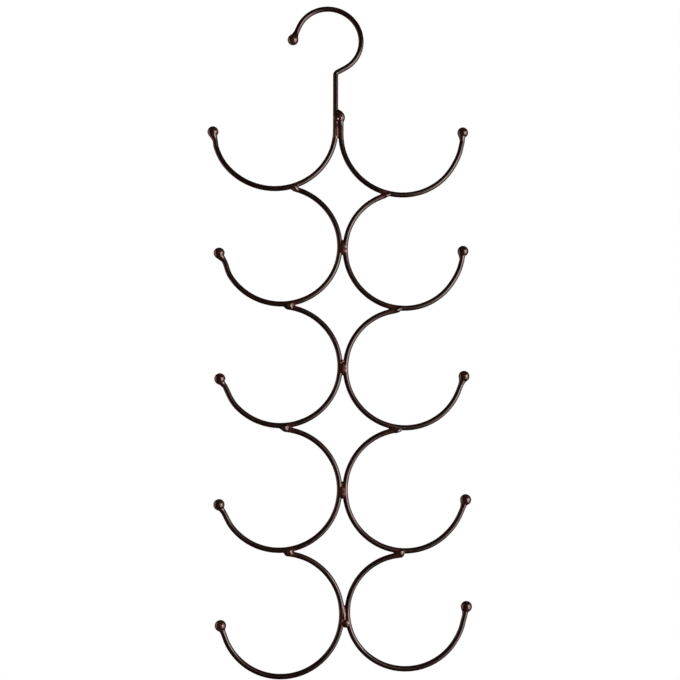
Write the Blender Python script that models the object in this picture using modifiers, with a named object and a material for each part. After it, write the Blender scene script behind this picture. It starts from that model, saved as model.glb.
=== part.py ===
"""A hat hanger of bent round wires, welded side by side, with a ball on every free end.

Metres, +Z up. The origin is the top of the hook's bore, where the hanger rests on its rail. X runs across the
hanger and Y through its thickness, so the axis of every wire lies in the plane y = 0.
"""

import math
from collections import namedtuple

import bmesh
import bpy
from mathutils import Vector

# Wire, and the clearance between neighbouring solids
WIRE_DIAMETER = 0.0040
TOUCH_GAP = 0.0003

# Hook, neck and shank
HOOK_BORE = 0.0482
HOOK_FOOT_ANGLE = -60.0
HOOK_BALL_ANGLE = 181.0
NECK_BEND_RADIUS = 0.0032
SHANK_OFFSET = 0.0055
SHANK_LENGTH = 0.0464

# Arms: nominal radius of the wire's axis, and how far apart the axes of two stacked rings pass, which is less
# than the wire's diameter because the lower one is lapped against the upper one
TOP_ARM_RADIUS = 0.0487
ARM_RADIUS = 0.0462
TOP_LAP_SPACING = -0.0014
LAP_SPACING = 0.0022
RIGHT_ARM_DROP = 0.0036
STEM_LENGTH = 0.0075
STEM_BALL_LEAN = 5.5

# Sideways place of each row's spine joint, from that of the top row, as the hanger is bent
ROW_SHIFTS = (0.0, 0.0034, 0.0036, 0.0032, 0.0049)

# How each arm departs from its nominal ring, from the top row down: growth of the radius, loss of height, extra
# distance from the arm above, the ball's angle above the ring's centre, and the outward set of the straight tip
Bent = namedtuple("Bent", "growth flattening slack ball_angle tip_set")
LEFT_ARMS = (
    Bent(0.0003, 0.0, 0.0, -5.7, -11.0),
    Bent(0.0003, 0.0, 0.0001, -8.3, 2.0),
    Bent(0.0001, 0.0, -0.0002, -12.7, 0.0),
    Bent(-0.0002, 0.0, 0.0005, -14.1, 0.0),
    Bent(-0.0005, 0.0, 0.0002, -9.7, -3.0),
)
RIGHT_ARMS = (
    Bent(-0.0004, 0.0, RIGHT_ARM_DROP, 4.5, 2.0),
    Bent(0.0, 0.0, -0.0001, 0.2, 0.0),
    Bent(-0.0001, 0.0, -0.0006, -6.7, 0.0),
    Bent(0.0003, 0.0, -0.0008, -9.1, 0.0),
    Bent(-0.0015, 0.0020, 0.0008, 3.8, 4.0),
)

# Upper end of a lower arm: how far it runs on past its first touch, how near its axis may come to that of the
# arm above, and the length of its rounded nose, whose flat end has this share of the wire's diameter
LAP_LENGTH = 0.0055
LAP_DEPTH = 0.0024
NOSE_LENGTH = 0.0012
NOSE_END_SHARE = 0.4

# Balls: each sits on a straight tip, on a neck that leaves the ball at an angle from its top and draws in to the
# wire along a curve of this power
BALL_DIAMETER = 0.0086
BALL_NECK = 0.0078
BALL_NECK_START = 135.0
BALL_NECK_POWER = 1.6
TIP_STRAIGHT = 0.0120

# Weld beads: one on the spine has its own length in each row, from the top row down, and sits this far below the
# level where the two wires touch
SPINE_WELD_LENGTHS = (0.0120, 0.0116, 0.0116, 0.0120, 0.0150)
SPINE_WELD_DROPS = (0.0, 0.0, 0.0, 0.0, 0.0025)
SPINE_WELD_WIDTH = 0.0036
SIDE_WELD_LENGTH = 0.0050
SIDE_WELD_WIDTH = 0.0038
SIDE_WELD_SETBACK = 0.0005
WELD_DEPTH = 0.0044

# Fineness of the bends, of the round sections and of the search for where two wires meet
ARC_STEP = 6.5
BEND_STEP = 15.0
NOSE_STEPS = (0.0, 0.3, 0.65)
WIRE_BEVEL_STEPS = 2
BALL_STEPS = 12
BALL_OUTLINE_STEPS = 6
NECK_OUTLINE_STEPS = 3
WELD_SEGMENTS = 12
WELD_RINGS = 8
TURN_STEP = 0.1
SHARP_ANGLE = 50.0
MERGE_DISTANCE = 1e-6

LEFT = -1
RIGHT = 1
SIDES = {LEFT: ("left", LEFT_ARMS), RIGHT: ("right", RIGHT_ARMS)}

Ring = namedtuple("Ring", "x z width height")
Tip = namedtuple("Tip", "wire_end ball_centre direction")

WIRE_RADIUS = WIRE_DIAMETER / 2
AXIS_SPACING = WIRE_DIAMETER + TOUCH_GAP
HOOK = Ring(0.0, -HOOK_BORE / 2, HOOK_BORE / 2 + WIRE_RADIUS, HOOK_BORE / 2 + WIRE_RADIUS)


def clear_scene():
    for obj in list(bpy.data.objects):
        bpy.data.objects.remove(obj, do_unlink=True)


def new_collection(name):
    collection = bpy.data.collections.new(name)
    bpy.context.scene.collection.children.link(collection)
    return collection


# Places of the rings

def spine_x(row):
    """Middle of the joint between the two wires of a row."""
    return SHANK_OFFSET + AXIS_SPACING / 2 + ROW_SHIFTS[row]


def place_rings():
    """Ring of each arm by (side, row), each hung from the one above it."""
    shank_foot = neck_corner().z - SHANK_LENGTH
    rings = {}
    for side, (_, arms) in SIDES.items():
        for row, bent in enumerate(arms):
            width = (ARM_RADIUS if row else TOP_ARM_RADIUS) + bent.growth
            height = width - bent.flattening
            if row == 0:
                z = shank_foot - bent.slack
            else:
                above = rings[side, row - 1]
                spacing = LAP_SPACING if row > 1 else TOP_LAP_SPACING
                z = above.z - above.height - height - spacing - bent.slack
            x = spine_x(row) + side * (width + AXIS_SPACING / 2)
            rings[side, row] = Ring(x, z, width, height)
    return rings


# Paths of the wires' axes

def on_ring(ring, side, turn):
    """Point of a ring, at a turn in degrees: 0 is nearest the spine, and 90 the top."""
    angle = math.radians(turn)
    return Vector((ring.x - side * ring.width * math.cos(angle), 0.0, ring.z + ring.height * math.sin(angle)))


def along_ring(ring, side, turn, sense):
    """Direction of the wire there, with the turn growing (sense 1) or falling (sense -1)."""
    angle = math.radians(turn)
    step = Vector((side * ring.width * math.sin(angle), 0.0, ring.height * math.cos(angle)))
    return (step * sense).normalized()


def arc(ring, side, start, end):
    steps = max(2, round(abs(end - start) / ARC_STEP))
    return [on_ring(ring, side, start + (end - start) * i / steps) for i in range(steps + 1)]


def fillet(corner, before, after, radius):
    """Points of the bend that rounds a corner between two directions."""
    turn = before.angle(after)
    start = corner - before * radius * math.tan(turn / 2)
    inward = (after - before * before.dot(after)).normalized()
    centre = start + inward * radius
    steps = max(2, round(math.degrees(turn) / BEND_STEP))
    angles = [turn * i / steps for i in range(steps + 1)]
    return [centre + (before * math.sin(angle) - inward * math.cos(angle)) * radius for angle in angles]


def turned(direction, angle):
    """The direction, turned by an angle in degrees from +Z towards +X."""
    angle = math.radians(angle)
    x = direction.x * math.cos(angle) + direction.z * math.sin(angle)
    z = direction.z * math.cos(angle) - direction.x * math.sin(angle)
    return Vector((x, 0.0, z))


def straight_tip(foot, direction):
    """The straight end of a wire, from its foot to the centre of its ball."""
    wire_end = foot + direction * (TIP_STRAIGHT - BALL_NECK - TOUCH_GAP)
    return Tip(wire_end, foot + direction * TIP_STRAIGHT, direction)


def tip_turn(ring):
    """Degrees of the ring that the straight tip takes up."""
    return math.degrees(math.atan(TIP_STRAIGHT / ring.width))


def hook_foot():
    """Where the hook's arc ends, and the direction of the straight into the neck."""
    return on_ring(HOOK, LEFT, HOOK_FOOT_ANGLE), along_ring(HOOK, LEFT, HOOK_FOOT_ANGLE, -1)


def neck_corner():
    """Where the straight from the hook would meet the shank's axis."""
    foot, direction = hook_foot()
    return foot + direction * ((SHANK_OFFSET - foot.x) / direction.x)


def hook_tip():
    turn = HOOK_BALL_ANGLE - tip_turn(HOOK)
    foot = on_ring(HOOK, LEFT, turn)
    return straight_tip(foot, along_ring(HOOK, LEFT, turn, 1))


def hook_path():
    """From the hook's tip over the rail and round the neck, up to where the shank begins."""
    over_rail = arc(HOOK, LEFT, HOOK_BALL_ANGLE - tip_turn(HOOK), HOOK_FOOT_ANGLE)
    down = Vector((0.0, 0.0, -1.0))
    neck = fillet(neck_corner(), hook_foot()[1], down, NECK_BEND_RADIUS)
    return [hook_tip().wire_end] + over_rail + neck


def arm_end_turn(ring, bent):
    return -180.0 - bent.ball_angle + tip_turn(ring)


def arm_tip(ring, side, bent):
    turn = arm_end_turn(ring, bent)
    direction = turned(along_ring(ring, side, turn, -1), side * bent.tip_set)
    return straight_tip(on_ring(ring, side, turn), direction)


def arm_path(ring, side, bent, start):
    """From a start turn, down the spine, round the bottom and up to the tip."""
    return arc(ring, side, start, arm_end_turn(ring, bent)) + [arm_tip(ring, side, bent).wire_end]


def stem_tip(ring):
    """Inner end of the top right arm, whose ball leans on the shank."""
    foot = on_ring(ring, RIGHT, 0.0) + Vector((0.0, 0.0, STEM_LENGTH))
    direction = turned(Vector((0.0, 0.0, 1.0)), -STEM_BALL_LEAN)
    return Tip(foot, foot + direction * (BALL_NECK + TOUCH_GAP), direction)


# Laps under the arms above

def axis_distance(point, ring):
    """Distance from a point to a ring's axis, positive outside it."""
    reach = math.hypot((point.x - ring.x) / ring.width, (point.z - ring.z) / ring.height)
    return (reach - 1.0) * (ring.width + ring.height) / 2


def touch_turn(ring, above, side):
    """The turn at which a rising arm first touches the arm above it."""
    turn = 0.0
    while turn < 90.0 and axis_distance(on_ring(ring, side, turn), above) > AXIS_SPACING:
        turn += TURN_STEP
    return turn


def lap_end_turn(ring, above, side):
    """The turn at which that arm ends, run into the one above."""
    turn = touch_turn(ring, above, side)
    last = turn + math.degrees(LAP_LENGTH / ring.width)
    while turn < last and axis_distance(on_ring(ring, side, turn), above) > LAP_DEPTH:
        turn += TURN_STEP
    return turn


def nose(ring, side, end):
    """Points and relative radii of the rounded nose at an arm's upper end, and the turn where it begins."""
    length = math.degrees(NOSE_LENGTH / ring.width)
    points = [on_ring(ring, side, end - length * step) for step in NOSE_STEPS]
    radii = [math.sqrt(1.0 - (1.0 - step) ** 2 * (1.0 - NOSE_END_SHARE**2)) for step in NOSE_STEPS]
    return points, radii, end - length


# Solids

def finish(obj, colour, roughness, metallic):
    material = bpy.data.materials.new(obj.name + "_coat")
    material.use_nodes = True
    shader = material.node_tree.nodes["Principled BSDF"]
    shader.inputs["Base Color"].default_value = (*colour, 1.0)
    shader.inputs["Roughness"].default_value = roughness
    shader.inputs["Metallic"].default_value = metallic
    material.diffuse_color = (*colour, 1.0)
    obj.data.materials.clear()
    obj.data.materials.append(material)


def finish_wire(obj):
    finish(obj, (0.024, 0.014, 0.012), 0.32, 0.5)


def finish_ball(obj):
    finish(obj, (0.028, 0.013, 0.012), 0.28, 0.5)


def finish_weld(obj):
    finish(obj, (0.038, 0.015, 0.012), 0.40, 0.5)


def tube(name, points, collection, radius, radii=()):
    """A round wire along a path, narrowed at its first points where radii are given."""
    data = bpy.data.curves.new(name, "CURVE")
    data.dimensions = "3D"
    data.bevel_depth = radius
    data.bevel_resolution = WIRE_BEVEL_STEPS
    data.use_fill_caps = True
    spline = data.splines.new("POLY")
    spline.points.add(len(points) - 1)
    for point, place in zip(spline.points, points):
        point.co = (*place, 1.0)
    for point, factor in zip(spline.points, radii):
        point.radius = factor
    spline.use_smooth = True
    obj = bpy.data.objects.new(name, data)
    collection.objects.link(obj)
    return obj


def as_mesh(curve, collection):
    """The curve as a mesh object with its caps welded on, in place of the curve."""
    bpy.context.view_layer.update()
    graph = bpy.context.evaluated_depsgraph_get()
    mesh = bpy.data.meshes.new_from_object(curve.evaluated_get(graph))
    bm = bmesh.new()
    bm.from_mesh(mesh)
    bmesh.ops.remove_doubles(bm, verts=bm.verts, dist=MERGE_DISTANCE)
    bm.to_mesh(mesh)
    bm.free()
    name = curve.name
    place = curve.matrix_world.copy()
    bpy.data.objects.remove(curve, do_unlink=True)
    obj = bpy.data.objects.new(name, mesh)
    obj.matrix_world = place
    collection.objects.link(obj)
    return obj


def clearance(name, points, cutters):
    """The wire's own tube, larger by the gap all round, to cut its neighbours with."""
    obj = as_mesh(tube(name + "_clearance", points, cutters, WIRE_RADIUS + TOUCH_GAP), cutters)
    obj.hide_render = True
    obj.display_type = "WIRE"
    return obj


def cut(obj, cutter):
    modifier = obj.modifiers.new("clear_" + cutter.name, "BOOLEAN")
    modifier.operation = "DIFFERENCE"
    modifier.solver = "EXACT"
    modifier.object = cutter


def smooth(mesh):
    mesh.shade_smooth()
    mesh.set_sharp_from_angle(angle=math.radians(SHARP_ANGLE))


def ball_profile():
    """Half outline of a ball and its neck, from the top down: (radius, height) about the ball's centre."""
    radius = BALL_DIAMETER / 2
    outline = [(0.0, radius)]
    for step in range(1, BALL_OUTLINE_STEPS + 1):
        angle = math.radians(BALL_NECK_START * step / BALL_OUTLINE_STEPS)
        outline.append((radius * math.sin(angle), radius * math.cos(angle)))
    wide, top = outline[-1]
    for step in range(1, NECK_OUTLINE_STEPS + 1):
        part = step / NECK_OUTLINE_STEPS
        draw_in = (1.0 - part) ** BALL_NECK_POWER
        outline.append((WIRE_RADIUS + (wide - WIRE_RADIUS) * draw_in, top + (-BALL_NECK - top) * part))
    return outline + [(0.0, -BALL_NECK)]


def ball_mesh():
    mesh = bpy.data.meshes.new("ball_profile")
    bm = bmesh.new()
    points = [bm.verts.new((radius, 0.0, height)) for radius, height in ball_profile()]
    for upper, lower in zip(points, points[1:]):
        bm.edges.new((upper, lower))
    bm.to_mesh(mesh)
    bm.free()
    return mesh


def make_ball(name, tip, collection):
    """A turned ball and neck, its neck against the wire's end."""
    obj = bpy.data.objects.new(name, ball_mesh())
    collection.objects.link(obj)
    obj.location = tip.ball_centre
    obj.rotation_euler = (0.0, math.atan2(tip.direction.x, tip.direction.z), 0.0)
    screw = obj.modifiers.new("turn", "SCREW")
    screw.axis = "Z"
    screw.steps = BALL_STEPS
    screw.render_steps = BALL_STEPS
    screw.use_merge_vertices = True
    screw.merge_threshold = MERGE_DISTANCE
    screw.use_smooth_shade = True
    finish_ball(obj)
    return obj


def make_weld(name, centre, size, slant, collection):
    """A bead of weld metal with its length along Z, slanted by an angle in degrees from +Z towards +X."""
    mesh = bpy.data.meshes.new(name)
    bm = bmesh.new()
    bmesh.ops.create_uvsphere(bm, u_segments=WELD_SEGMENTS, v_segments=WELD_RINGS, radius=0.5)
    bmesh.ops.scale(bm, vec=size, verts=bm.verts)
    bm.to_mesh(mesh)
    bm.free()
    smooth(mesh)
    obj = bpy.data.objects.new(name, mesh)
    collection.objects.link(obj)
    obj.location = centre
    obj.rotation_euler = (0.0, math.radians(slant), 0.0)
    finish_weld(obj)
    return obj


# Sub-parts

def make_top_wires(rings, parts, cutters):
    """The hook wire, which ends as the top left arm, and the top right arm on its stem."""
    left = hook_path() + arm_path(rings[LEFT, 0], LEFT, LEFT_ARMS[0], 0.0)
    right = [stem_tip(rings[RIGHT, 0]).wire_end] + arm_path(rings[RIGHT, 0], RIGHT, RIGHT_ARMS[0], 0.0)
    clear = {}
    for side, name, path in ((LEFT, "hook_wire", left), (RIGHT, "right_arm_1", right)):
        finish_wire(tube(name, path, parts, WIRE_RADIUS))
        clear[side, 0] = clearance(name, path, cutters)
    return clear


def make_lower_arm(rings, side, row, parts, cutters, clear):
    """An arm whose upper end is cut to lie against the arm above."""
    label, arms = SIDES[side]
    name = f"{label}_arm_{row + 1}"
    ring = rings[side, row]
    end = lap_end_turn(ring, rings[side, row - 1], side)
    points, radii, start = nose(ring, side, end)
    path = points + arm_path(ring, side, arms[row], start)
    past_end = end + math.degrees(LAP_LENGTH / ring.width)
    clear[side, row] = clearance(name, arm_path(ring, side, arms[row], past_end), cutters)
    obj = as_mesh(tube(name, path, parts, WIRE_RADIUS, radii), parts)
    cut(obj, clear[side, row - 1])
    smooth(obj.data)
    finish_wire(obj)


def make_balls(rings, parts, clear):
    make_ball("hook_ball", hook_tip(), parts)
    for side, (label, arms) in SIDES.items():
        for row, bent in enumerate(arms):
            make_ball(f"{label}_ball_{row + 1}", arm_tip(rings[side, row], side, bent), parts)
    stem_ball = make_ball("stem_ball", stem_tip(rings[RIGHT, 0]), parts)
    cut(stem_ball, clear[LEFT, 0])


def make_spine_welds(rings, parts, clear):
    """A bead in front of and behind each joint of the spine, where the two wires of a row lie together."""
    for row, (length, drop) in enumerate(zip(SPINE_WELD_LENGTHS, SPINE_WELD_DROPS)):
        level = (rings[LEFT, row].z + rings[RIGHT, row].z) / 2 - drop
        size = (SPINE_WELD_WIDTH, WELD_DEPTH, length)
        weld = make_weld(f"spine_weld_{row + 1}", (spine_x(row), 0.0, level), size, 0.0, parts)
        cut(weld, clear[LEFT, row])
        cut(weld, clear[RIGHT, row])


def make_side_weld(rings, side, row, parts, clear):
    """The fillet in the crotch between an arm and the one above it."""
    ring = rings[side, row]
    above = rings[side, row - 1]
    turn = touch_turn(ring, above, side)
    lower = on_ring(ring, side, turn)
    outward = Vector((lower.x - above.x, 0.0, lower.z - above.z)).normalized()
    run = along_ring(ring, side, turn, -1)
    run = (run + turned(outward, 90.0 * side)).normalized()
    centre = lower - outward * AXIS_SPACING / 2 - run * SIDE_WELD_SETBACK
    slant = math.degrees(math.atan2(run.x, run.z))
    size = (SIDE_WELD_WIDTH, WELD_DEPTH, SIDE_WELD_LENGTH)
    weld = make_weld(f"{SIDES[side][0]}_weld_{row + 1}", centre, size, slant, parts)
    cut(weld, clear[side, row - 1])
    cut(weld, clear[side, row])


def main():
    clear_scene()
    parts = new_collection("hat_hanger")
    cutters = new_collection("cutters")
    rings = place_rings()
    clear = make_top_wires(rings, parts, cutters)
    for side in SIDES:
        for row in range(1, len(LEFT_ARMS)):
            make_lower_arm(rings, side, row, parts, cutters, clear)
            make_side_weld(rings, side, row, parts, clear)
    make_balls(rings, parts, clear)
    make_spine_welds(rings, parts, clear)


main()
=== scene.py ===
"""Looks of a hat hanger of bent round wires with a dark bronze coat, hung before white.

Every wire, ball and weld is drawn again on the paths of the solids, round and fine, and stands for its solid.
Metres, +Z up, with the origin at the top of the hook's bore.
"""

import math
from collections import namedtuple

import bmesh
import bpy
from mathutils import Matrix, Vector


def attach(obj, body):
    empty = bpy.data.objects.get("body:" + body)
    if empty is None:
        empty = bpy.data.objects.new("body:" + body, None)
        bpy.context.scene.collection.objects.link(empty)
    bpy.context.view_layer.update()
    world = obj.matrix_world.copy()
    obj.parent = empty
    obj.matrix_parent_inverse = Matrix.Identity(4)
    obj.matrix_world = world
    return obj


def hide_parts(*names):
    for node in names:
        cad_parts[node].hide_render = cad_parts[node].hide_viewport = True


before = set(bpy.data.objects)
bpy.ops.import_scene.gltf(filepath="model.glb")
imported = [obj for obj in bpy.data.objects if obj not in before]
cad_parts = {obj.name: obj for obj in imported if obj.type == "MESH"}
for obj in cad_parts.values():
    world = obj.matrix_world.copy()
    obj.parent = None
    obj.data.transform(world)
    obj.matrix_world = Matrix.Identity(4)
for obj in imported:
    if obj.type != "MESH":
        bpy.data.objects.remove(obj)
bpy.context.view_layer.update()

# Sizes and places of the solids
WIRE_DIAMETER = 0.0040
TOUCH_GAP = 0.0003
HOOK_BORE = 0.0482
HOOK_FOOT_ANGLE = -60.0
HOOK_BALL_ANGLE = 181.0
NECK_BEND_RADIUS = 0.0032
SHANK_OFFSET = 0.0055
SHANK_LENGTH = 0.0464
TOP_ARM_RADIUS = 0.0487
ARM_RADIUS = 0.0462
TOP_LAP_SPACING = -0.0014
LAP_SPACING = 0.0022
RIGHT_ARM_DROP = 0.0036
STEM_LENGTH = 0.0075
STEM_BALL_LEAN = 5.5
LAP_LENGTH = 0.0055
LAP_DEPTH = 0.0024
BALL_DIAMETER = 0.0086
BALL_NECK = 0.0078
TIP_STRAIGHT = 0.0120
SPINE_WELD_DROPS = (0.0, 0.0, 0.0, 0.0, 0.0025)
ROW_SHIFTS = (0.0, 0.0034, 0.0036, 0.0032, 0.0049)

# How each arm departs from its nominal ring, from the top row down: growth of the radius, loss of height, extra
# distance from the arm above, the ball's angle above the ring's centre, and the outward set of the straight tip
Bent = namedtuple("Bent", "growth flattening slack ball_angle tip_set")
LEFT_ARMS = (
    Bent(0.0003, 0.0, 0.0, -5.7, -11.0),
    Bent(0.0003, 0.0, 0.0001, -8.3, 2.0),
    Bent(0.0001, 0.0, -0.0002, -12.7, 0.0),
    Bent(-0.0002, 0.0, 0.0005, -14.1, 0.0),
    Bent(-0.0005, 0.0, 0.0002, -9.7, -3.0),
)
RIGHT_ARMS = (
    Bent(-0.0004, 0.0, RIGHT_ARM_DROP, 4.5, 2.0),
    Bent(0.0, 0.0, -0.0001, 0.2, 0.0),
    Bent(-0.0001, 0.0, -0.0006, -6.7, 0.0),
    Bent(0.0003, 0.0, -0.0008, -9.1, 0.0),
    Bent(-0.0015, 0.0020, 0.0008, 3.8, 4.0),
)

# Thickness of the coat on wires and balls, with which they are drawn
COAT_THICKNESS = 0.00009

# Fineness of the drawn wires, balls and necks, and of the search for where two wires touch
ARC_STEP = 1.4
BEND_STEP = 5.0
WIRE_SIDES = 28
BALL_SIDES = 36
BALL_TURN_STEP = 7.5
NECK_STEP = 0.0004
STEM_CROWN_STEPS = 14
TURN_STEP = 0.1

# Nose of a lapped end, which begins before that end; from the second row down, how far it runs on past that end and
# how deep it sinks into the wire above
Nose = namedtuple("Nose", "ahead sink")
NOSES = (Nose(0.0024, 0.0009), Nose(0.0024, 0.0011), Nose(0.0024, 0.0009), Nose(0.0012, 0.0022))
NOSE_BACK = 0.0014
NOSE_STEPS = 9
NOSE_TIP_ANGLE = 8.0

# Neck of each ball, from the top row down: its length from the ball's centre, how much it swells at the ball, and
# how far the wire's last stretch runs aside of its ring, outwards, over which run
Neck = namedtuple("Neck", "length flare aside run")
LEFT_NECKS = (
    Neck(0.0078, 0.0010, -0.0008, 0.022),
    Neck(0.0074, 0.0010, -0.0011, 0.013),
    Neck(0.0060, 0.0006, -0.0009, 0.017),
    Neck(0.0058, 0.0005, -0.0004, 0.012),
    Neck(0.0058, 0.0005, -0.0001, 0.010),
)
RIGHT_NECKS = (
    Neck(0.0074, 0.0008, 0.0009, 0.024),
    Neck(0.0070, 0.0009, 0.0009, 0.022),
    Neck(0.0078, 0.0011, 0.0, 0.020),
    Neck(0.0074, 0.0008, 0.0004, 0.024),
    Neck(0.0070, 0.0007, 0.0005, 0.022),
)
HOOK_NECK = Neck(0.0076, 0.0011, 0.0, 0.010)

# How far below the ball's centre a neck may begin to swell, the power by which the swell fades, and the length over
# which the corner between ball and neck is rounded
NECK_START = 0.0030
NECK_POWER = 1.6
NECK_SOFTNESS = 0.0006

# Weld metal: a lump by its place from the middle of the joint (across, in depth, along), its half sizes, and how far
# its front is turned to the right, in degrees
Lump = namedtuple("Lump", "across depth along wide deep long turn", defaults=(0.0,))

# Crest of weld metal, a bead on both wires: three places (along, across) from its upper end to its lower end, how far
# it stands before the middle plane, its thickness and how many times wider it is than thick
Crest = namedtuple("Crest", "upper middle lower front thick flat")

# The stem's ball, drawn up to a point where it melts into the shank: how much lower and further aside it sits than in
# the solids, how high its point is, how far that leans, the power by which the crown narrows, and the depth and the
# width of the swell below the ball
STEM_DROP = 0.0020
STEM_ASIDE = -0.0005
STEM_CROWN = 0.0073
STEM_LEAN = -0.0013
STEM_POINT = 0.75
STEM_FOOT = 0.0062
STEM_FLARE = 0.0009

# From the middle of the stem's ball: how far its skin takes in the shank above and both wires below, where the weld of
# the first row begins, and how far the melted coat reaches
STEM_SHANK_RUN = 0.0110
STEM_SKIN_FOOT = 0.0082
STEM_WELD_TOP = 0.0037
STEM_MELT = 0.0085

# Skin of a melted joint: the grid it is drawn on, and how often and how strongly it is smoothed
WELD_VOXEL = 0.00020
WELD_SMOOTHING = 16
WELD_FLOW = 0.5

# Wires in such a skin: how much fuller they are, and by how much and over which length they sink towards a cut end
WELD_SWELL = 0.00007
SKIN_SINK = 0.00011
SKIN_TAPER = 0.0045

# How much wire a joint takes in: on the spine, on a lower arm, and on the arm above it
SPINE_RUN = 0.0130
SIDE_RUN = 0.0100
SIDE_SPREAD = 0.0140

# How far the melted coat reaches round a joint, and how steeply it ends
SPINE_MELT = 0.0085
SIDE_MELT = 0.0062
MELT_STEEPNESS = 2.0

# Fineness of lumps and crests, the turn of every crest's plane to the right, and how much thinner a crest's ends are
LUMP_SEGMENTS = 24
LUMP_RINGS = 16
CREST_STEPS = 8
CREST_TURN = 19.5
CREST_TAPER = 0.45

LEFT = -1
RIGHT = 1

# Weld metal on the stem's ball: the web that joins it to the shank and its bright spots, then its crest. Here and on
# the spine across is to the right, and along is upwards
STEM_LUMPS = (
    Lump(-0.0031, -0.0021, 0.0004, 0.0026, 0.0011, 0.0032, -33.0),
    Lump(-0.0020, -0.0036, -0.0013, 0.0017, 0.0008, 0.0017, 19.5),
    Lump(0.0010, -0.0034, 0.0016, 0.0022, 0.0009, 0.0021, 19.5),
    Lump(-0.0004, -0.0030, 0.0033, 0.0016, 0.0009, 0.0019, 19.5),
)
STEM_CREST = Crest((0.0020, 0.0010), (0.0006, 0.0023), (-0.0016, 0.0033), 0.0037, 0.0012, 1.8)

# Weld metal on the spine, from the top row down, and the crest on the shank beside the first weld
SPINE_LUMPS = (
    (
        Lump(0.0, 0.0, 0.0006, 0.0008, 0.0013, 0.0058),
        Lump(0.0, 0.0010, 0.0, 0.0012, 0.0010, 0.0050),
    ),
    (
        Lump(0.0, -0.0008, 0.0040, 0.0020, 0.0013, 0.0022),
        Lump(0.0, 0.0, 0.0, 0.0009, 0.0015, 0.0059),
        Lump(0.0001, -0.0011, 0.0012, 0.0039, 0.00145, 0.0038),
        Lump(0.0001, -0.0011, -0.0020, 0.0039, 0.00145, 0.0038),
        Lump(0.0, 0.0010, -0.0010, 0.0014, 0.0010, 0.0044),
    ),
    (
        Lump(-0.0003, -0.0017, 0.0047, 0.0013, 0.0007, 0.0012, 19.5),
        Lump(0.0, 0.0, -0.0008, 0.0011, 0.0015, 0.0056),
        Lump(0.0, -0.0011, 0.0006, 0.0038, 0.0014, 0.0030),
        Lump(0.0, -0.0011, -0.0026, 0.0038, 0.0014, 0.0032),
        Lump(0.0, 0.0010, -0.0008, 0.0014, 0.0010, 0.0040),
    ),
    (
        Lump(-0.0003, -0.0011, -0.0005, 0.0036, 0.0014, 0.0036),
        Lump(-0.0003, -0.0011, -0.0035, 0.0036, 0.0014, 0.0036),
        Lump(0.0, 0.0, 0.0, 0.0010, 0.0015, 0.0061),
        Lump(0.0, 0.0010, 0.0, 0.0014, 0.0010, 0.0045),
    ),
    (
        Lump(0.0007, -0.0011, -0.0052, 0.0032, 0.0016, 0.0032),
        Lump(0.0, 0.0, 0.0, 0.0010, 0.0015, 0.0083),
        Lump(-0.0019, -0.0010, 0.0085, 0.0015, 0.0009, 0.0036, 19.5),
        Lump(-0.0011, -0.0011, 0.0045, 0.0015, 0.0009, 0.0040, 19.5),
        Lump(-0.0004, -0.0012, 0.0, 0.0015, 0.0009, 0.0042, 19.5),
        Lump(0.0, 0.0010, -0.0020, 0.0014, 0.0010, 0.0050),
    ),
)
SHANK_CREST = Crest((0.0062, -0.0016), (0.0, -0.0016), (-0.0062, -0.0016), 0.00245, 0.0008, 2.6)

# Weld metal where each lower arm meets the arm above, from the second row down. Across is downwards, away from the arm
# above, and along is towards the crotch
SIDE_LUMPS = {
    LEFT: (
        (Lump(0.0, 0.0, -0.0012, 0.0012, 0.0013, 0.0022), Lump(0.0, 0.0, -0.0036, 0.0013, 0.0018, 0.0034)),
        (Lump(0.0, 0.0, -0.0016, 0.0012, 0.0013, 0.0022), Lump(0.0, -0.0006, -0.0050, 0.0020, 0.0016, 0.0036)),
        (Lump(0.0, 0.0, -0.0028, 0.0012, 0.0013, 0.0022), Lump(0.0, -0.0006, -0.0062, 0.0020, 0.0016, 0.0032)),
        (Lump(0.0, 0.0, -0.0016, 0.0012, 0.0013, 0.0022), Lump(0.0, 0.0, -0.0040, 0.0013, 0.0018, 0.0034)),
    ),
    RIGHT: (
        (Lump(0.0, 0.0, -0.0008, 0.0014, 0.0016, 0.0016), Lump(0.0004, -0.0009, -0.0018, 0.0028, 0.00145, 0.0030)),
        (Lump(0.0, 0.0, -0.0012, 0.0014, 0.0016, 0.0018), Lump(0.0002, -0.0010, -0.0042, 0.0030, 0.00145, 0.0044)),
        (Lump(0.0, 0.0, -0.0016, 0.0014, 0.0016, 0.0018), Lump(0.0006, -0.0010, -0.0042, 0.0030, 0.00145, 0.0040)),
        (Lump(0.0, 0.0, -0.0004, 0.0014, 0.0016, 0.0018), Lump(-0.0004, -0.0010, -0.0022, 0.0030, 0.00145, 0.0040)),
    ),
}
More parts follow.
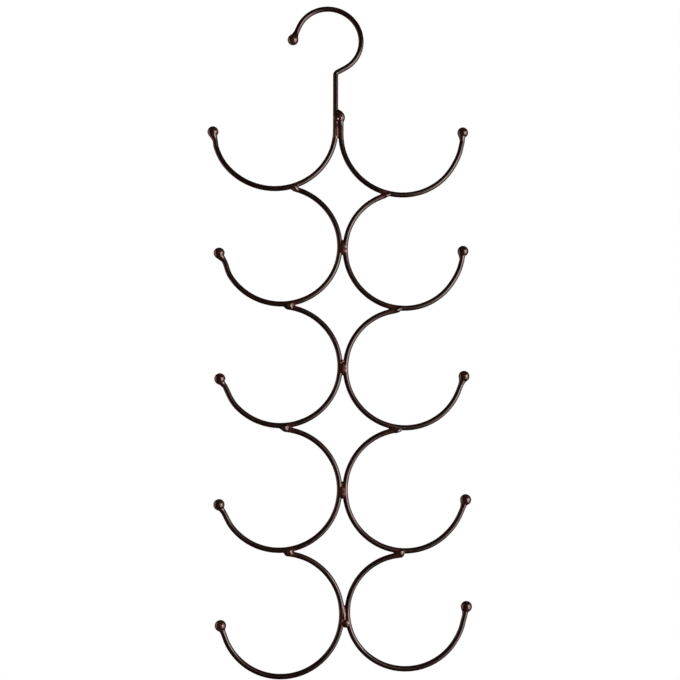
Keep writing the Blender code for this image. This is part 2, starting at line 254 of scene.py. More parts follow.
SIDE_CRESTS = {
    LEFT: (
        Crest((-0.0006, -0.0023), (-0.0010, 0.0002), (0.0010, 0.0030), 0.0033, 0.0013, 2.1),
        Crest((-0.0012, -0.0022), (-0.0020, 0.0003), (-0.0005, 0.0030), 0.0028, 0.0011, 2.0),
        Crest((-0.0030, -0.0016), (-0.0039, 0.0003), (-0.0028, 0.0027), 0.0029, 0.0011, 2.1),
        Crest((-0.0013, -0.0016), (-0.0014, 0.0003), (-0.0001, 0.0026), 0.0028, 0.0011, 1.8),
    ),
    RIGHT: (
        Crest((-0.0049, -0.0002), (-0.0044, 0.0008), (-0.0031, 0.0023), 0.0028, 0.0011, 2.3),
        Crest((-0.0090, -0.0007), (-0.0071, 0.0003), (-0.0050, 0.0018), 0.0027, 0.0011, 2.3),
        Crest((-0.0079, 0.0001), (-0.0070, 0.0012), (-0.0059, 0.0027), 0.0027, 0.0011, 2.3),
        Crest((-0.0051, -0.0022), (-0.0050, -0.0005), (-0.0044, 0.0016), 0.0028, 0.0011, 2.3),
    ),
}

SIDES = {LEFT: ("left", LEFT_ARMS, LEFT_NECKS), RIGHT: ("right", RIGHT_ARMS, RIGHT_NECKS)}
ROWS = range(len(LEFT_ARMS))

Ring = namedtuple("Ring", "x z width height")
Tip = namedtuple("Tip", "wire_end ball_centre direction")

WIRE_RADIUS = WIRE_DIAMETER / 2 + COAT_THICKNESS
BALL_RADIUS = BALL_DIAMETER / 2 + COAT_THICKNESS
NECK_TOP = BALL_RADIUS / 2
AXIS_SPACING = WIRE_DIAMETER + TOUCH_GAP
HOOK_RADIUS = (HOOK_BORE + WIRE_DIAMETER) / 2
HOOK = Ring(0.0, -HOOK_BORE / 2, HOOK_RADIUS, HOOK_RADIUS)
RIGHTWARDS = Vector((1.0, 0.0, 0.0))
THROUGH = Vector((0.0, 1.0, 0.0))
UP = Vector((0.0, 0.0, 1.0))


# Paths of the wires, as in the solids

def spine_x(row):
    return SHANK_OFFSET + AXIS_SPACING / 2 + ROW_SHIFTS[row]


def place_rings():
    """Ring of each arm by (side, row), each hung from the one above it."""
    shank_foot = neck_corner().z - SHANK_LENGTH
    rings = {}
    for side, (_, arms, _) in SIDES.items():
        for row, bent in enumerate(arms):
            width = (ARM_RADIUS if row else TOP_ARM_RADIUS) + bent.growth
            height = width - bent.flattening
            if row == 0:
                z = shank_foot - bent.slack
            else:
                above = rings[side, row - 1]
                spacing = LAP_SPACING if row > 1 else TOP_LAP_SPACING
                z = above.z - above.height - height - spacing - bent.slack
            x = spine_x(row) + side * (width + AXIS_SPACING / 2)
            rings[side, row] = Ring(x, z, width, height)
    return rings


def on_ring(ring, side, turn):
    """Point of a ring, at a turn in degrees: 0 is nearest the spine, and 90 the top."""
    angle = math.radians(turn)
    return Vector((ring.x - side * ring.width * math.cos(angle), 0.0, ring.z + ring.height * math.sin(angle)))


def along_ring(ring, side, turn, sense):
    """Direction of a ring's run at a turn: that of a growing turn for a sense of 1, and back for -1."""
    angle = math.radians(turn)
    step = Vector((side * ring.width * math.sin(angle), 0.0, ring.height * math.cos(angle)))
    return (step * sense).normalized()


def arc(ring, side, start, end):
    """Points of a ring from one turn to another."""
    steps = max(2, round(abs(end - start) / ARC_STEP))
    return [on_ring(ring, side, start + (end - start) * i / steps) for i in range(steps + 1)]


def straight(start, end):
    """Points between two places, without them, about as close as on an arc."""
    steps = max(2, round((end - start).length / math.radians(ARC_STEP) / ARM_RADIUS))
    return [start.lerp(end, i / steps) for i in range(1, steps)]


def fillet(corner, before, after, radius):
    """Points of the bend that rounds a corner between two directions."""
    turn = before.angle(after)
    start = corner - before * radius * math.tan(turn / 2)
    inward = (after - before * before.dot(after)).normalized()
    centre = start + inward * radius
    steps = max(2, round(math.degrees(turn) / BEND_STEP))
    angles = [turn * i / steps for i in range(steps + 1)]
    return [centre + (before * math.sin(angle) - inward * math.cos(angle)) * radius for angle in angles]


def turned(direction, angle):
    """The direction, turned by an angle in degrees from +Z towards +X."""
    angle = math.radians(angle)
    x = direction.x * math.cos(angle) + direction.z * math.sin(angle)
    z = direction.z * math.cos(angle) - direction.x * math.sin(angle)
    return Vector((x, 0.0, z))


def outward(direction, side):
    """The direction, turned a quarter towards a side."""
    return turned(direction, 90.0 * side)


def straight_tip(foot, direction):
    wire_end = foot + direction * (TIP_STRAIGHT - BALL_NECK)
    return Tip(wire_end, foot + direction * TIP_STRAIGHT, direction)


def tip_turn(ring):
    """How much of a ring's turn its straight tip takes the place of."""
    return math.degrees(math.atan(TIP_STRAIGHT / ring.width))


def neck_corner():
    """Where the straight from the hook would meet the shank's axis."""
    foot = on_ring(HOOK, LEFT, HOOK_FOOT_ANGLE)
    direction = along_ring(HOOK, LEFT, HOOK_FOOT_ANGLE, -1)
    return foot + direction * ((SHANK_OFFSET - foot.x) / direction.x)


def hook_tip():
    turn = HOOK_BALL_ANGLE - tip_turn(HOOK)
    return straight_tip(on_ring(HOOK, LEFT, turn), along_ring(HOOK, LEFT, turn, 1))


def hook_path(rings):
    """From the hook's tip over the rail, round the neck and down the shank."""
    over_rail = arc(HOOK, LEFT, HOOK_BALL_ANGLE - tip_turn(HOOK), HOOK_FOOT_ANGLE)
    towards_neck = along_ring(HOOK, LEFT, HOOK_FOOT_ANGLE, -1)
    neck = fillet(neck_corner(), towards_neck, -UP, NECK_BEND_RADIUS)
    shank = straight(neck[-1], on_ring(rings[LEFT, 0], LEFT, 0.0))
    return [hook_tip().wire_end] + over_rail + neck + shank


def arm_end_turn(ring, bent):
    """The turn at which an arm leaves its ring for its straight tip."""
    return -180.0 - bent.ball_angle + tip_turn(ring)


def arm_tip(ring, side, bent):
    turn = arm_end_turn(ring, bent)
    direction = turned(along_ring(ring, side, turn, -1), side * bent.tip_set)
    return straight_tip(on_ring(ring, side, turn), direction)


def stem_tip(ring):
    """Inner end of the top right arm, whose ball leans on the shank."""
    foot = on_ring(ring, RIGHT, 0.0) + UP * STEM_LENGTH
    direction = turned(UP, -STEM_BALL_LEAN)
    return Tip(foot, foot + direction * BALL_NECK, direction)


def axis_distance(point, ring):
    """Distance from a point to a ring's axis, positive outside it."""
    reach = math.hypot((point.x - ring.x) / ring.width, (point.z - ring.z) / ring.height)
    return (reach - 1.0) * (ring.width + ring.height) / 2


def touch_turn(ring, above, side):
    """The turn at which a rising arm first touches the arm above it."""
    turn = 0.0
    while turn < 90.0 and axis_distance(on_ring(ring, side, turn), above) > AXIS_SPACING:
        turn += TURN_STEP
    return turn


def lap_end_turn(ring, above, side):
    """The turn at which that arm ends, run into the one above."""
    turn = touch_turn(ring, above, side)
    last = turn + math.degrees(LAP_LENGTH / ring.width)
    while turn < last and axis_distance(on_ring(ring, side, turn), above) > LAP_DEPTH:
        turn += TURN_STEP
    return turn


# Drawing of wires

def facing(point, ahead, radius):
    """Puts a unit circle at a point of a wire, square to its run, at a radius."""
    across = THROUGH.cross(ahead)
    turn = Matrix((across, THROUGH, ahead)).transposed().to_4x4()
    return Matrix.Translation(point) @ turn @ Matrix.Scale(radius, 4)


def smooth(share):
    """Eases a share from 0 to 1."""
    share = max(0.0, min(1.0, share))
    return share * share * (3.0 - 2.0 * share)


def draw_wire(bm, points, radii, sides):
    """Draws a round section along points, and returns its last ring of vertices and edges."""
    count = len(points)
    aheads = [(points[min(i + 1, count - 1)] - points[max(i - 1, 0)]).normalized() for i in range(count)]
    places = [facing(*place) for place in zip(points, aheads, radii)]
    made = bmesh.ops.create_circle(bm, cap_ends=True, radius=1.0, segments=sides, matrix=places[0])
    verts = made["verts"]
    edges = list({edge for vert in verts for edge in vert.link_edges})
    for edge in edges:
        edge.smooth = False
    for before, after in zip(places, places[1:]):
        made = bmesh.ops.extrude_edge_only(bm, edges=edges)["geom"]
        verts = [item for item in made if isinstance(item, bmesh.types.BMVert)]
        ring = set(verts)
        edges = [item for item in made if isinstance(item, bmesh.types.BMEdge) and ring.issuperset(item.verts)]
        bmesh.ops.transform(bm, matrix=after @ before.inverted(), verts=verts)
    return verts, edges


def close_flat(bm, edges):
    """Closes a wire's open end with a flat face."""
    bmesh.ops.contextual_create(bm, geom=edges)
    for edge in edges:
        edge.smooth = False


def close_round(bm, verts, apex):
    """Closes a ball's last ring at its top."""
    bmesh.ops.contextual_create(bm, geom=verts)
    bmesh.ops.pointmerge(bm, verts=verts, merge_co=apex)


def whole_wire(bm, points, radii=()):
    """A wire with both ends closed flat. Where radii are given, they are those of its first points."""
    radii = list(radii) + [WIRE_RADIUS] * (len(points) - len(radii))
    close_flat(bm, draw_wire(bm, points, radii, WIRE_SIDES)[1])


def wire_skin(bm, points, radii=()):
    """A wire as part of a melted joint: a trace fuller than the plain wire, and sunk into it towards its cut ends."""
    reach = [0.0]
    for before, after in zip(points, points[1:]):
        reach.append(reach[-1] + (after - before).length)
    skin = [radius + WELD_SWELL for radius in radii]
    for place in reach[len(radii):]:
        to_end = reach[-1] - place if radii else min(place, reach[-1] - place)
        skin.append(WIRE_RADIUS + WELD_SWELL - SKIN_SINK * (1.0 - smooth(to_end / SKIN_TAPER)))
    whole_wire(bm, points, skin)


def dress(name, mesh, material, node):
    """Makes a mesh the piece that stands for a solid."""
    mesh.materials.append(material)
    piece = bpy.data.objects.new(name, mesh)
    bpy.context.scene.collection.objects.link(piece)
    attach(piece, "root")
    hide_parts(node)


def set_melt(mesh, share_at):
    """Writes how far the coat at each point is that of melted metal, from 0 to 1."""
    melt = mesh.attributes.new("melt", "FLOAT", "POINT")
    for vert, value in zip(mesh.vertices, melt.data):
        value.value = smooth(share_at(vert.co))


def rank(face, count):
    """A number that orders faces by their lowest vertex, then by the sum of all their vertices."""
    indices = [vert.index for vert in face.verts]
    return min(indices) * count**2 + sum(indices)


def as_mesh(bm, name):
    """A drawing as a mesh, with its faces in the same order each run."""
    bmesh.ops.recalc_face_normals(bm, faces=bm.faces)
    for face in bm.faces:
        face.smooth = True
    bm.verts.index_update()
    count = len(bm.verts)
    bm.faces.sort(key=lambda face: rank(face, count))
    mesh = bpy.data.meshes.new(name)
    bm.to_mesh(mesh)
    bm.free()
    return mesh


# Wires

def nose_path(ring, above, side, end, nose):
    """Points and radii of the melted nose of a lapped end, from its tip, and the turn where it begins."""
    start = end - math.degrees(NOSE_BACK / ring.width)
    tip = end + math.degrees(nose.ahead / ring.width)
    middle = Vector((above.x, 0.0, above.z))
    points, radii = [], []
    for step in range(NOSE_STEPS):
        angle = math.radians(NOSE_TIP_ANGLE + (90.0 - NOSE_TIP_ANGLE) * step / NOSE_STEPS)
        point = on_ring(ring, side, start + (tip - start) * math.cos(angle))
        points.append(point + (middle - point).normalized() * nose.sink * math.cos(angle) ** 2)
        radii.append(WIRE_RADIUS * math.sin(angle))
    return points, radii, start


def run_to_ball(ring, side, bent, neck, start):
    """Points of an arm from a start turn to its ball's neck, its last stretch set aside as the real one is."""
    tip = arm_tip(ring, side, bent)
    points = arc(ring, side, start, arm_end_turn(ring, bent))
    points += straight(points[-1], tip.wire_end) + [tip.wire_end]
    aside = outward(tip.direction, side) * neck.aside
    return [point + aside * smooth(1.0 - (tip.wire_end - point).length / neck.run) for point in points]


def make_wires(rings, material):
    bm = bmesh.new()
    whole_wire(bm, hook_path(rings) + run_to_ball(rings[LEFT, 0], LEFT, LEFT_ARMS[0], LEFT_NECKS[0], 0.0))
    dress("wire_hook", as_mesh(bm, "wire_hook"), material, "hook_wire")

    bm = bmesh.new()
    foot = on_ring(rings[RIGHT, 0], RIGHT, 0.0)
    stem = stem_tip(rings[RIGHT, 0]).wire_end
    run = run_to_ball(rings[RIGHT, 0], RIGHT, RIGHT_ARMS[0], RIGHT_NECKS[0], 0.0)
    whole_wire(bm, [stem] + straight(stem, foot) + run)
    dress("wire_right_1", as_mesh(bm, "wire_right_1"), material, "right_arm_1")

    for side, (label, arms, necks) in SIDES.items():
        for row in ROWS[1:]:
            bm = bmesh.new()
            ring, above = rings[side, row], rings[side, row - 1]
            points, radii, start = nose_path(ring, above, side, lap_end_turn(ring, above, side), NOSES[row - 1])
            whole_wire(bm, points + run_to_ball(ring, side, arms[row], necks[row], start), radii)
            name = f"wire_{label}_{row + 1}"
            dress(name, as_mesh(bm, name), material, f"{label}_arm_{row + 1}")


# Balls

def soft_larger(first, second, softness):
    """The larger of two radii, with the corner between them rounded over a softness."""
    near = max(softness - abs(first - second), 0.0) / softness
    return max(first, second) + near * near * softness / 4


def ball_radius_at(height, neck):
    """Radius of a ball and its neck at a height above the ball's centre."""
    ball = math.sqrt(max(BALL_RADIUS**2 - height**2, 0.0))
    if height > -NECK_TOP:
        return ball
    rest = 1.0 - (-height - NECK_START) / (neck.length - NECK_START)
    stalk = WIRE_RADIUS + neck.flare * max(0.0, min(1.0, rest)) ** NECK_POWER
    return soft_larger(ball, stalk, NECK_SOFTNESS)


def ball_heights():
    """Heights of a ball's sections, from the neck's foot to near the top."""
    heights = []
    height = -BALL_NECK
    while height < -NECK_TOP:
        heights.append(height)
        height += NECK_STEP
    angle = math.degrees(math.asin(height / BALL_RADIUS))
    while angle < 90.0 - BALL_TURN_STEP / 2:
        heights.append(BALL_RADIUS * math.sin(math.radians(angle)))
        angle += BALL_TURN_STEP
    return heights


def make_ball(name, node, tip, side, neck, material):
    """A ball with the neck that the coat and the melted wire draw at it."""
    aside = outward(tip.direction, side) * neck.aside
    heights = ball_heights()
    points = []
    for height in heights:
        share = smooth((-height - NECK_TOP) / (BALL_NECK - NECK_TOP))
        points.append(tip.ball_centre + tip.direction * height + aside * share)
    bm = bmesh.new()
    verts, _ = draw_wire(bm, points, [ball_radius_at(height, neck) for height in heights], BALL_SIDES)
    close_round(bm, verts, tip.ball_centre + tip.direction * BALL_RADIUS)
    mesh = as_mesh(bm, name)
    set_melt(mesh, lambda place: (BALL_NECK + (place - tip.ball_centre).dot(tip.direction)) / BALL_RADIUS)
    dress(name, mesh, material, node)


def make_balls(rings, material):
    make_ball("ball_hook", "hook_ball", hook_tip(), RIGHT, HOOK_NECK, material)
    for side, (label, arms, necks) in SIDES.items():
        for row in ROWS:
            tip = arm_tip(rings[side, row], side, arms[row])
            make_ball(f"ball_{label}_{row + 1}", f"{label}_ball_{row + 1}", tip, side, necks[row], material)


def stem_radius_at(height):
    """Radius of the stem's ball at a height above its centre: pointed above, drawn down to the wire below."""
    if height > 0.0:
        return BALL_RADIUS * math.cos(math.pi / 2 * height / STEM_CROWN) ** STEM_POINT
    ball = math.sqrt(max(BALL_RADIUS**2 - height**2, 0.0))
    rest = max(0.0, 1.0 + height / STEM_FOOT)
    return soft_larger(ball, WIRE_RADIUS + STEM_FLARE * rest, NECK_SOFTNESS)


def stem_centre(rings):
    """Middle of the stem's ball."""
    tip = stem_tip(rings[RIGHT, 0])
    return tip.ball_centre - tip.direction * STEM_DROP + outward(tip.direction, RIGHT) * STEM_ASIDE


def make_stem_ball(rings, material):
    """The ball on the stem's end, melted against the shank."""
    tip = stem_tip(rings[RIGHT, 0])
    centre = stem_centre(rings)
    low = centre.z - STEM_SKIN_FOOT
    foot = Vector((tip.wire_end.x, 0.0, low))
    reach = BALL_NECK - STEM_DROP
    aside = outward(tip.direction, RIGHT) * STEM_ASIDE
    bm = bmesh.new()
    heights = [STEM_CROWN * (1.0 - step / STEM_CROWN_STEPS) for step in range(1, STEM_CROWN_STEPS)]
    heights += [-reach * step / STEM_CROWN_STEPS for step in range(STEM_CROWN_STEPS + 1)]
    points = []
    for height in heights:
        lean = outward(tip.direction, RIGHT) * STEM_LEAN * max(0.0, height / STEM_CROWN) ** 2
        points.append(centre + tip.direction * height - aside * smooth(-height / reach) + lean)
    wire_skin(bm, points + straight(points[-1], foot) + [foot], [stem_radius_at(height) for height in heights])
    top = Vector((SHANK_OFFSET, 0.0, centre.z + STEM_SHANK_RUN))
    end = Vector((SHANK_OFFSET, 0.0, low))
    wire_skin(bm, [top] + straight(top, end) + [end])
    for lump in STEM_LUMPS:
        add_lump(bm, centre, UP, lump)
    add_crest(bm, centre, UP, RIGHTWARDS, STEM_CREST)
    fuse("ball_stem", "stem_ball", bm, material, centre, STEM_MELT)


# Welds

def add_lump(bm, centre, along, lump):
    """A lump of weld metal, placed and sized in the joint's own directions."""
    across = THROUGH.cross(along)
    directions = Matrix((across, THROUGH, along)).transposed()
    place = Matrix.Translation(centre + directions @ Vector((lump.across, lump.depth, lump.along)))
    place = place @ Matrix.Rotation(math.radians(lump.turn), 4, "Z") @ directions.to_4x4()
    place = place @ Matrix.Diagonal((lump.wide, lump.deep, lump.long, 1.0))
    bmesh.ops.create_uvsphere(bm, u_segments=LUMP_SEGMENTS, v_segments=LUMP_RINGS, radius=1.0, matrix=place)


def add_crest(bm, centre, along, across, crest):
    """A flattened bead along a curve, all in a plane turned to the right."""
    upper, middle, lower = (along * place[0] + across * place[1] for place in (crest.upper, crest.middle, crest.lower))
    turn = math.radians(CREST_TURN)
    points, radii = [], []
    for step in range(CREST_STEPS + 1):
        share = 2.0 * step / CREST_STEPS - 1.0
        point = (lower - upper) * share / 2 + ((upper + lower) / 2 - middle) * share**2
        points.append(Vector((point.x / math.cos(turn) / crest.flat, 0.0, point.z)))
        radii.append(crest.thick * (1.0 - CREST_TAPER * share**4))
    earlier = set(bm.verts)
    whole_wire(bm, points, radii)
    verts = [vert for vert in bm.verts if vert not in earlier]
    middle += Vector((-crest.thick * math.sin(turn), crest.thick * math.cos(turn) - crest.front, 0.0))
    place = Matrix.Translation(centre + middle) @ Matrix.Rotation(turn, 4, "Z")
    place = place @ Matrix.Scale(crest.flat, 4, RIGHTWARDS)
    bmesh.ops.transform(bm, matrix=place, verts=verts)


def fuse(name, node, bm, material, centre, reach):
    """Melts wires and lumps that cross each other into one skin that flows from one into the next."""
    raw = bpy.data.objects.new(name + "_raw", as_mesh(bm, name + "_raw"))
    bpy.context.scene.collection.objects.link(raw)
    remesh = raw.modifiers.new("fuse", "REMESH")
    remesh.mode = "VOXEL"
    remesh.voxel_size = WELD_VOXEL
    remesh.use_smooth_shade = True
    flow = raw.modifiers.new("flow", "SMOOTH")
    flow.factor = WELD_FLOW
    flow.iterations = WELD_SMOOTHING
    bpy.context.view_layer.update()
    graph = bpy.context.evaluated_depsgraph_get()
    mesh = bpy.data.meshes.new_from_object(raw.evaluated_get(graph))
    mesh.name = name
    spare = raw.data
    bpy.data.objects.remove(raw, do_unlink=True)
    bpy.data.meshes.remove(spare)
    set_melt(mesh, lambda place: MELT_STEEPNESS * (1.0 - (place - centre).length / reach))
    dress(name, mesh, material, node)


def make_spine_joints(rings, material):
    for row in ROWS:
        bm = bmesh.new()
        level = (rings[LEFT, row].z + rings[RIGHT, row].z) / 2 - SPINE_WELD_DROPS[row]
        for side in SIDES:
            ring = rings[side, row]
            middle = math.degrees(math.asin(max(-1.0, min(1.0, (level - ring.z) / ring.height))))
            half = math.degrees(SPINE_RUN / ring.height)
            if row == 0:
                foot = on_ring(ring, side, 0.0)
                top = Vector((foot.x, 0.0, stem_centre(rings).z - STEM_WELD_TOP))
                run = [top] + straight(top, foot) + arc(ring, side, 0.0, middle - half)
            else:
                run = arc(ring, side, middle + half, middle - half)
            wire_skin(bm, run)
        centre = Vector((spine_x(row), 0.0, level))
        for lump in SPINE_LUMPS[row]:
            add_lump(bm, centre, UP, lump)
        if row == 0:
            add_crest(bm, centre, UP, RIGHTWARDS, SHANK_CREST)
        fuse(f"joint_spine_{row + 1}", f"spine_weld_{row + 1}", bm, material, centre, SPINE_MELT)


def make_side_joints(rings, material):
    for side, (label, _, _) in SIDES.items():
        for row in ROWS[1:]:
            ring, above = rings[side, row], rings[side, row - 1]
            touch = touch_turn(ring, above, side)
            bm = bmesh.new()
            points, radii, start = nose_path(ring, above, side, lap_end_turn(ring, above, side), NOSES[row - 1])
            lower = arc(ring, side, start, touch - math.degrees(SIDE_RUN / ring.width))
            wire_skin(bm, points + lower, radii)
            place = on_ring(ring, side, touch)
            away = Vector((place.x - above.x, 0.0, place.z - above.z)).normalized()
            bearing = math.degrees(math.atan2(away.z, -side * away.x))
            spread = math.degrees(SIDE_SPREAD / above.width)
            wire_skin(bm, arc(above, side, bearing + spread, bearing - spread))
            centre = place - away * AXIS_SPACING / 2
            along = (along_ring(ring, side, touch, -1) + outward(away, side)).normalized()
            for lump in SIDE_LUMPS[side][row - 1]:
                add_lump(bm, centre, along, lump._replace(across=-side * lump.across))
            add_crest(bm, centre, along, outward(along, -side), SIDE_CRESTS[side][row - 1])
            fuse(f"joint_{label}_{row + 1}", f"{label}_weld_{row + 1}", bm, material, centre, SIDE_MELT)


# Coats

# Patterns in the coat: clouds of brown, pools of red, wear, waves where metal has melted, and a fine peel. A range says
# from where to where in its pattern each of the first three grows, and a relief how strong and how deep a bump is
Grain = namedtuple("Grain", "scale detail roughness distortion")
Relief = namedtuple("Relief", "strength depth")
CLOUD = Grain(110.0, 4.0, 0.6, 0.0)
CLOUD_RANGE = (0.35, 0.68)
POOLS = Grain(260.0, 3.0, 0.55, 0.4)
POOLS_RANGE = (0.48, 0.70)
WEAR = Grain(420.0, 5.0, 0.65, 0.0)
WEAR_RANGE = (0.3, 0.7)
WAVES = Grain(360.0, 1.5, 0.4, 0.4)
WAVES_RELIEF = Relief(0.45, 0.0003)
PEEL = Grain(900.0, 2.0, 0.5, 0.0)
PEEL_RELIEF = Relief(0.12, 0.00005)

METALLIC = 0.40
GLOSS = 0.8
GLOSS_TINT = (1.0, 0.80, 0.74, 1.0)
COAT_ROUGHNESS = 0.10

# Looks of the coat: its three colours, how much red there is, its roughness where it is smooth and where it is rough,
# the height of its waves and the weight of the clear gloss on it
Look = namedtuple("Look", "dark brown red red_amount smooth rough waves coat")
PLAIN_LOOK = Look(
    dark=(0.0085, 0.0030, 0.0022), brown=(0.020, 0.0092, 0.0068), red=(0.026, 0.0062, 0.0042),
    red_amount=0.40, smooth=0.18, rough=0.30, waves=0.0, coat=0.25,
)
BALL_LOOK = Look(
    dark=(0.0200, 0.0078, 0.0056), brown=(0.050, 0.0240, 0.0180), red=(0.075, 0.0150, 0.0095),
    red_amount=0.75, smooth=0.09, rough=0.17, waves=0.20, coat=0.5,
)
WELD_LOOK = Look(
    dark=(0.0280, 0.0096, 0.0072), brown=(0.050, 0.0178, 0.0126), red=(0.090, 0.0202, 0.0130),
    red_amount=0.85, smooth=0.10, rough=0.20, waves=0.4, coat=0.3,
)

# Sockets that a Mix node has for colours: its two inputs and its result
COLOUR_INPUTS = (6, 7)
COLOUR_OUTPUT = 2


class Nodes:
    """Adds the nodes of one material and joins them."""

    def __init__(self, name):
        self.material = bpy.data.materials.new(name)
        self.material.use_nodes = True
        self.tree = self.material.node_tree
        self.shader = self.tree.nodes["Principled BSDF"]
        self.place = self.add("ShaderNodeTexCoord").outputs["Object"]

    def add(self, kind, **settings):
        node = self.tree.nodes.new(kind)
        for key, value in settings.items():
            setattr(node, key, value)
        return node

    def link(self, output, socket):
        self.tree.links.new(output, socket)

    def noise(self, grain):
        node = self.add("ShaderNodeTexNoise")
        self.link(self.place, node.inputs["Vector"])
        for key, value in zip(("Scale", "Detail", "Roughness", "Distortion"), grain):
            node.inputs[key].default_value = value
        return node.outputs["Fac"]

    def spread(self, value, start, end):
        """Eases a value from one range, low and high, over to another."""
        node = self.add("ShaderNodeMapRange", interpolation_type="SMOOTHSTEP")
        self.link(value, node.inputs["Value"])
        for key, number in zip(("From Min", "From Max", "To Min", "To Max"), start + end):
            node.inputs[key].default_value = number
        return node.outputs["Result"]

    def mix(self, amount, first, second):
        node = self.add("ShaderNodeMix")
        for socket, value in zip((node.inputs["Factor"], node.inputs["A"], node.inputs["B"]), (amount, first, second)):
            self.link(value, socket)
        return node.outputs["Result"]

    def times(self, value, number):
        node = self.add("ShaderNodeMath", operation="MULTIPLY")
        self.link(value, node.inputs[0])
        node.inputs[1].default_value = number
        return node.outputs["Value"]

    def blend(self, amount, first, second):
        node = self.add("ShaderNodeMix", data_type="RGBA")
        self.link(amount, node.inputs["Factor"])
        for index, colour in zip(COLOUR_INPUTS, (first, second)):
            socket = node.inputs[index]
            if isinstance(colour, tuple):
                socket.default_value = (*colour, 1.0)
            else:
                self.link(colour, socket)
        return node.outputs[COLOUR_OUTPUT]

    def bump(self, height, relief, before=None):
        node = self.add("ShaderNodeBump")
        node.inputs["Strength"].default_value = relief.strength
        node.inputs["Distance"].default_value = relief.depth
        self.link(height, node.inputs["Height"])
        if before is not None:
            self.link(before, node.inputs["Normal"])
        return node.outputs["Normal"]


def coat(name, look):
    """Dark bronze coat: near black, browner where it is thin, and as the look says where the metal has melted."""
    nodes = Nodes(name)
    melt = nodes.add("ShaderNodeAttribute", attribute_name="melt").outputs["Fac"]
    cloud = nodes.spread(nodes.noise(CLOUD), CLOUD_RANGE, (0.0, 1.0))
    pools = nodes.noise(POOLS)
    colours = []
    for tone in (PLAIN_LOOK, look):
        red = nodes.spread(pools, POOLS_RANGE, (0.0, tone.red_amount))
        colours.append(nodes.blend(red, nodes.blend(cloud, tone.dark, tone.brown), tone.red))
    nodes.link(nodes.blend(melt, *colours), nodes.shader.inputs["Base Color"])
    wear = nodes.noise(WEAR)
    roughness = [nodes.spread(wear, WEAR_RANGE, (tone.smooth, tone.rough)) for tone in (PLAIN_LOOK, look)]
    nodes.link(nodes.mix(melt, *roughness), nodes.shader.inputs["Roughness"])
    waves = nodes.noise(WAVES)
    heights = [nodes.times(waves, tone.waves) for tone in (PLAIN_LOOK, look)]
    waved = nodes.bump(nodes.mix(melt, *heights), WAVES_RELIEF)
    peel = nodes.bump(nodes.noise(PEEL), PEEL_RELIEF, waved)
    nodes.link(peel, nodes.shader.inputs["Normal"])
    nodes.shader.inputs["Metallic"].default_value = METALLIC
    nodes.shader.inputs["Specular IOR Level"].default_value = GLOSS
    nodes.shader.inputs["Specular Tint"].default_value = GLOSS_TINT
    nodes.shader.inputs["Coat Weight"].default_value = look.coat
    nodes.shader.inputs["Coat Roughness"].default_value = COAT_ROUGHNESS
    return nodes.material


# Studio

# Camera: what it looks at, the direction from there back to it and how far, its lens and sensor in millimetres, and
# the nearest and farthest that it sees
CAMERA_AIM = Vector((0.00906, 0.0, -0.26591))
CAMERA_BACK = Vector((-0.0923, -0.9891, -0.1146))
CAMERA_DISTANCE = 0.936
CAMERA_LENS = 63.53
CAMERA_SENSOR = 36.0
CAMERA_CLIP = (0.05, 50.0)

# Round floor far below the hanger, which glows a little wherever it is seen
FLOOR_LEVEL = -1.65
FLOOR_RADIUS = 5.0
FLOOR_SIDES = 96
FLOOR_COLOUR = (0.8, 0.8, 0.8, 1.0)
FLOOR_ROUGHNESS = 0.9
FLOOR_GLOW = 0.6

# Light from all round, and what shows in gloss: a dark room, and white behind the hanger, which begins where a ray's
# direction has the first of two values of Y and is full at the second
AMBIENT = (1.0, 0.97, 0.95, 1.0)
AMBIENT_LEVEL = 0.20
WHITE = (1.0, 1.0, 1.0, 1.0)
ROOM = (0.020, 0.012, 0.010, 1.0)
BACKDROP_FADE = 0.75
BACKDROP_EDGE = 1.0

# Soft boxes that face the hanger's middle, each at an azimuth to the right of the front. With a glow of 1 a box is as
# bright as white
Lamp = namedtuple("Lamp", "name azimuth elevation distance width height glow colour")
LAMPS = (
    Lamp("main_box", 43.0, 0.0, 1.5, 0.56, 0.80, 9.8, (1.0, 1.0, 1.0)),
    Lamp("low_box", 45.0, -30.0, 1.5, 0.64, 0.80, 3.0, (0.95, 1.0, 1.0)),
    Lamp("right_wall", 72.0, -7.0, 1.5, 0.94, 2.00, 2.9, (1.0, 0.88, 0.84)),
    Lamp("front_box", 21.0, 5.0, 1.8, 0.66, 1.20, 1.15, (1.0, 0.78, 0.75)),
    Lamp("left_rim", -96.0, 0.0, 1.6, 0.70, 2.00, 2.1, (1.0, 0.78, 0.72)),
)


def add_camera():
    data = bpy.data.cameras.new("camera")
    data.lens = CAMERA_LENS
    data.sensor_width = CAMERA_SENSOR
    camera = bpy.data.objects.new("camera", data)
    back = CAMERA_BACK.normalized()
    camera.location = CAMERA_AIM + back * CAMERA_DISTANCE
    camera.rotation_mode = "QUATERNION"
    camera.rotation_quaternion = (-back).to_track_quat("-Z", "Y")
    data.clip_start, data.clip_end = CAMERA_CLIP
    bpy.context.scene.collection.objects.link(camera)
    bpy.context.scene.camera = camera


def add_lamp(lamp):
    data = bpy.data.lights.new(lamp.name, "AREA")
    data.shape = "RECTANGLE"
    data.size = lamp.width
    data.size_y = lamp.height
    data.energy = lamp.glow * math.pi * lamp.width * lamp.height
    data.color = lamp.colour
    box = bpy.data.objects.new(lamp.name, data)
    azimuth, elevation = math.radians(lamp.azimuth), math.radians(lamp.elevation)
    across = math.cos(elevation)
    away = Vector((math.sin(azimuth) * across, -math.cos(azimuth) * across, math.sin(elevation)))
    box.location = CAMERA_AIM + away * lamp.distance
    box.rotation_mode = "QUATERNION"
    box.rotation_quaternion = away.to_track_quat("Z", "Y")
    box.visible_camera = False
    bpy.context.scene.collection.objects.link(box)


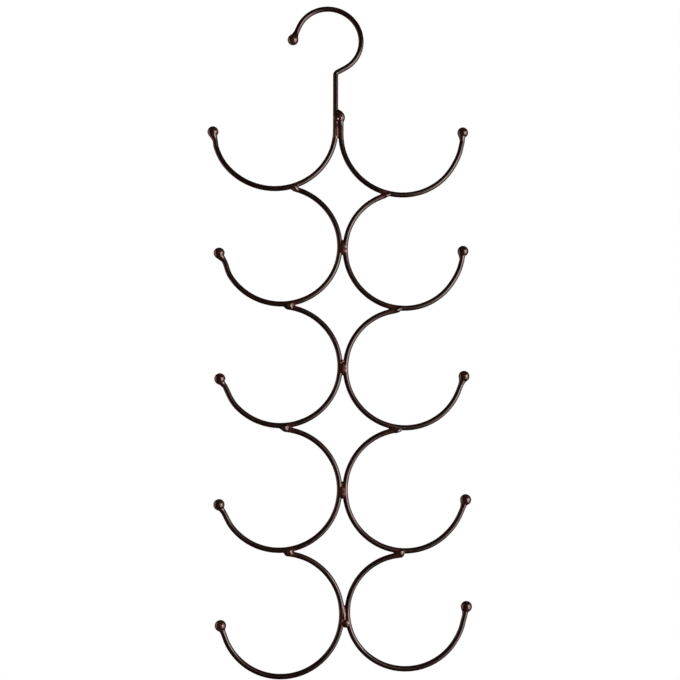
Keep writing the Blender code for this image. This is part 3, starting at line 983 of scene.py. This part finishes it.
def seen_white(tree):
    """1 for rays on which the white background shows: from the camera, in gloss and through glass."""
    path = tree.nodes.new("ShaderNodeLightPath")
    total = path.outputs["Is Camera Ray"]
    for kind in ("Is Glossy Ray", "Is Transmission Ray"):
        add = tree.nodes.new("ShaderNodeMath")
        add.operation = "MAXIMUM"
        tree.links.new(total, add.inputs[0])
        tree.links.new(path.outputs[kind], add.inputs[1])
        total = add.outputs["Value"]
    return total


def add_world():
    """White wherever the hanger is seen before it, with a dark room on the viewer's side for the gloss."""
    world = bpy.data.worlds.new("studio")
    bpy.context.scene.world = world
    world.use_nodes = True
    tree = world.node_tree
    lit = tree.nodes["Background"]
    lit.inputs["Color"].default_value = AMBIENT
    lit.inputs["Strength"].default_value = AMBIENT_LEVEL
    white = tree.nodes.new("ShaderNodeBackground")
    white.inputs["Color"].default_value = WHITE
    dark = tree.nodes.new("ShaderNodeBackground")
    dark.inputs["Color"].default_value = ROOM
    place = tree.nodes.new("ShaderNodeTexCoord")
    parts = tree.nodes.new("ShaderNodeSeparateXYZ")
    tree.links.new(place.outputs["Generated"], parts.inputs["Vector"])
    behind = tree.nodes.new("ShaderNodeMapRange")
    behind.interpolation_type = "SMOOTHSTEP"
    behind.inputs["From Min"].default_value = BACKDROP_FADE
    behind.inputs["From Max"].default_value = BACKDROP_EDGE
    tree.links.new(parts.outputs["Y"], behind.inputs["Value"])
    path = tree.nodes.new("ShaderNodeLightPath")
    plain = tree.nodes.new("ShaderNodeMath")
    plain.operation = "MAXIMUM"
    tree.links.new(behind.outputs["Result"], plain.inputs[0])
    tree.links.new(path.outputs["Is Camera Ray"], plain.inputs[1])
    seen = tree.nodes.new("ShaderNodeMixShader")
    tree.links.new(plain.outputs["Value"], seen.inputs["Fac"])
    tree.links.new(dark.outputs["Background"], seen.inputs[1])
    tree.links.new(white.outputs["Background"], seen.inputs[2])
    mix = tree.nodes.new("ShaderNodeMixShader")
    tree.links.new(seen_white(tree), mix.inputs["Fac"])
    tree.links.new(lit.outputs["Background"], mix.inputs[1])
    tree.links.new(seen.outputs["Shader"], mix.inputs[2])
    tree.links.new(mix.outputs["Shader"], tree.nodes["World Output"].inputs["Surface"])


def add_floor():
    bm = bmesh.new()
    place = Matrix.Translation((0.0, 0.0, FLOOR_LEVEL))
    bmesh.ops.create_circle(bm, cap_ends=True, radius=FLOOR_RADIUS, segments=FLOOR_SIDES, matrix=place)
    mesh = bpy.data.meshes.new("floor")
    bm.to_mesh(mesh)
    bm.free()
    material = bpy.data.materials.new("pale_floor")
    material.use_nodes = True
    tree = material.node_tree
    shader = tree.nodes["Principled BSDF"]
    shader.inputs["Base Color"].default_value = FLOOR_COLOUR
    shader.inputs["Roughness"].default_value = FLOOR_ROUGHNESS
    glow = tree.nodes.new("ShaderNodeEmission")
    mix = tree.nodes.new("ShaderNodeAddShader")
    strength = tree.nodes.new("ShaderNodeMath")
    strength.operation = "MULTIPLY"
    strength.inputs[1].default_value = FLOOR_GLOW
    tree.links.new(seen_white(tree), strength.inputs[0])
    tree.links.new(strength.outputs["Value"], glow.inputs["Strength"])
    tree.links.new(shader.outputs["BSDF"], mix.inputs[0])
    tree.links.new(glow.outputs["Emission"], mix.inputs[1])
    tree.links.new(mix.outputs["Shader"], tree.nodes["Material Output"].inputs["Surface"])
    mesh.materials.append(material)
    floor = bpy.data.objects.new("floor", mesh)
    floor.visible_glossy = False
    bpy.context.scene.collection.objects.link(floor)


def main():
    rings = place_rings()
    wire_coat = coat("bronze_wire", PLAIN_LOOK)
    ball_coat = coat("bronze_ball", BALL_LOOK)
    weld_coat = coat("bronze_weld", WELD_LOOK)
    make_wires(rings, wire_coat)
    make_balls(rings, ball_coat)
    make_stem_ball(rings, ball_coat)
    make_spine_joints(rings, weld_coat)
    make_side_joints(rings, weld_coat)
    add_camera()
    add_world()
    add_floor()
    for lamp in LAMPS:
        add_lamp(lamp)
    bpy.context.scene.view_settings.view_transform = "Standard"


main()
